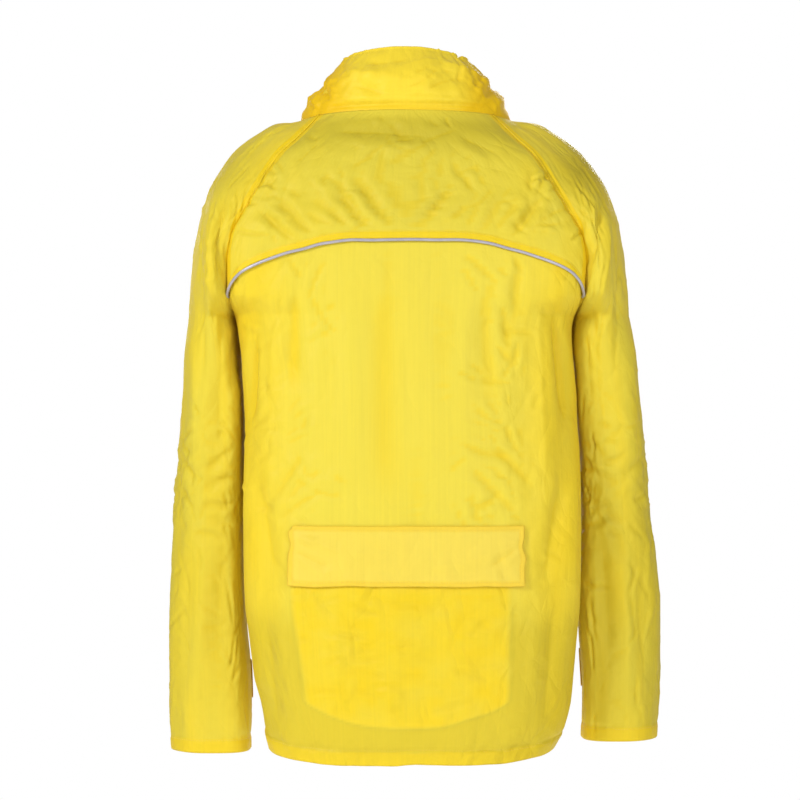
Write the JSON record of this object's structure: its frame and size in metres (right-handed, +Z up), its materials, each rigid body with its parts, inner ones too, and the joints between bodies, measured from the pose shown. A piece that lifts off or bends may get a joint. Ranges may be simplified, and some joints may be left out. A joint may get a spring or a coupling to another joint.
{
  "type": "foul weather jacket",
  "caption": "Yellow waterproof jacket with raglan sleeves, vented back yoke with reflective piping, stand collar with stowed hood, and flapped pockets.",
  "frame": {"origin": "centre of the neck opening, level with the collar seam at the back of the neck", "axes": "+Z up, -Y is the way the wearer faces, +X is the wearer's left"},
  "size_m": [0.597, 0.2674, 0.835],
  "materials": {
    "shell": "coated woven cloth, soft sheen",
    "double_cloth": "two layers of coated cloth, soft sheen",
    "mesh": "open knitted mesh",
    "reflective": "grey retroreflective tape over cord",
    "zip_plastic": "moulded, satin",
    "zip_tape": "woven tape",
    "slider_metal": "cast, satin",
    "eyelet_metal": "plated",
    "hook_and_loop": "woven hook-and-loop tape"
  },
  "bodies": {
    "jacket_body": {"back_panel": "shell", "back_yoke": "shell", "vent_mesh": "mesh", "reflective_piping": "reflective", "left_front_panel": "shell", "right_front_panel": "shell", "left_sleeve_upper": "shell", "left_sleeve_elbow": "shell", "right_sleeve_upper": "shell", "right_sleeve_elbow": "shell", "collar_outer": "double_cloth", "collar_inner": "shell", "stowed_hood": "double_cloth", "hanger_loop": "shell", "back_pocket_bag": "double_cloth", "back_pocket_loop_patch": "hook_and_loop", "left_pocket_bag": "shell", "right_pocket_bag": "shell", "zip_tape_left": "zip_tape", "zip_tape_right": "zip_tape", "zip_teeth_left": "zip_plastic", "zip_teeth_right": "zip_plastic", "zip_top_stop_left": "zip_plastic", "zip_top_stop_right": "zip_plastic", "zip_box": "zip_plastic", "storm_placket": "double_cloth", "hem_band": "double_cloth", "hem_eyelet_left": "eyelet_metal", "hem_eyelet_right": "eyelet_metal"},
    "left_forearm": {"left_sleeve_lower": "shell", "left_cuff_hem": "double_cloth", "left_cuff_anchor": "double_cloth", "left_cuff_loop_patch": "hook_and_loop"},
    "right_forearm": {"right_sleeve_lower": "shell", "right_cuff_hem": "double_cloth", "right_cuff_anchor": "double_cloth", "right_cuff_loop_patch": "hook_and_loop"},
    "left_cuff_strap": {"left_cuff_strap": "double_cloth"},
    "right_cuff_strap": {"right_cuff_strap": "double_cloth"},
    "main_zip_slider": {"zip_slider": "slider_metal"},
    "main_zip_puller": {"zip_puller": "slider_metal"},
    "back_pocket_flap": {"back_pocket_flap": "double_cloth", "back_flap_hook_patch": "hook_and_loop"},
    "left_pocket_flap": {"left_pocket_flap": "double_cloth"},
    "right_pocket_flap": {"right_pocket_flap": "double_cloth"}
  },
  "joints": [
    {"name": "left_elbow", "type": "hinge", "parent": "jacket_body", "child": "left_forearm", "pos_m": [0.238, -0.044, -0.435], "axis": [-1, 0, 0], "range_deg": [0, 90], "deforming": ["left_sleeve_elbow"]},
    {"name": "right_elbow", "type": "hinge", "parent": "jacket_body", "child": "right_forearm", "pos_m": [-0.26, -0.044, -0.435], "axis": [-1, 0, 0], "range_deg": [0, 90], "deforming": ["right_sleeve_elbow"]},
    {"name": "main_zip_slide", "type": "slide", "parent": "jacket_body", "child": "main_zip_slider", "axis": [0, -0.0421, -0.9991], "range_m": [0, 0.67]},
    {"name": "main_zip_puller_hinge", "type": "hinge", "parent": "main_zip_slider", "child": "main_zip_puller", "pos_m": [0, -0.10331, -0.00675], "axis": [-1, 0, 0], "range_deg": [0, 150]},
    {"name": "back_pocket_flap_hinge", "type": "hinge", "parent": "jacket_body", "child": "back_pocket_flap", "pos_m": [0, 0.1292, -0.478], "axis": [1, 0, 0], "range_deg": [0, 150]},
    {"name": "left_pocket_flap_hinge", "type": "hinge", "parent": "jacket_body", "child": "left_pocket_flap", "pos_m": [0.1143, -0.10319, -0.478], "axis": [-0.9426, -0.3339, 0], "range_deg": [0, 120]},
    {"name": "right_pocket_flap_hinge", "type": "hinge", "parent": "jacket_body", "child": "right_pocket_flap", "pos_m": [-0.11224, -0.1063, -0.478], "axis": [-0.9629, 0.27, 0], "range_deg": [0, 120]},
    {"name": "left_cuff_strap_hinge", "type": "hinge", "parent": "left_forearm", "child": "left_cuff_strap", "pos_m": [0.19454, -0.06753, -0.674], "axis": [0, 0, -1], "range_deg": [0, 90]},
    {"name": "right_cuff_strap_hinge", "type": "hinge", "parent": "right_forearm", "child": "right_cuff_strap", "pos_m": [-0.21952, -0.06753, -0.66], "axis": [0, 0, 1], "range_deg": [0, 90]}
  ]
}
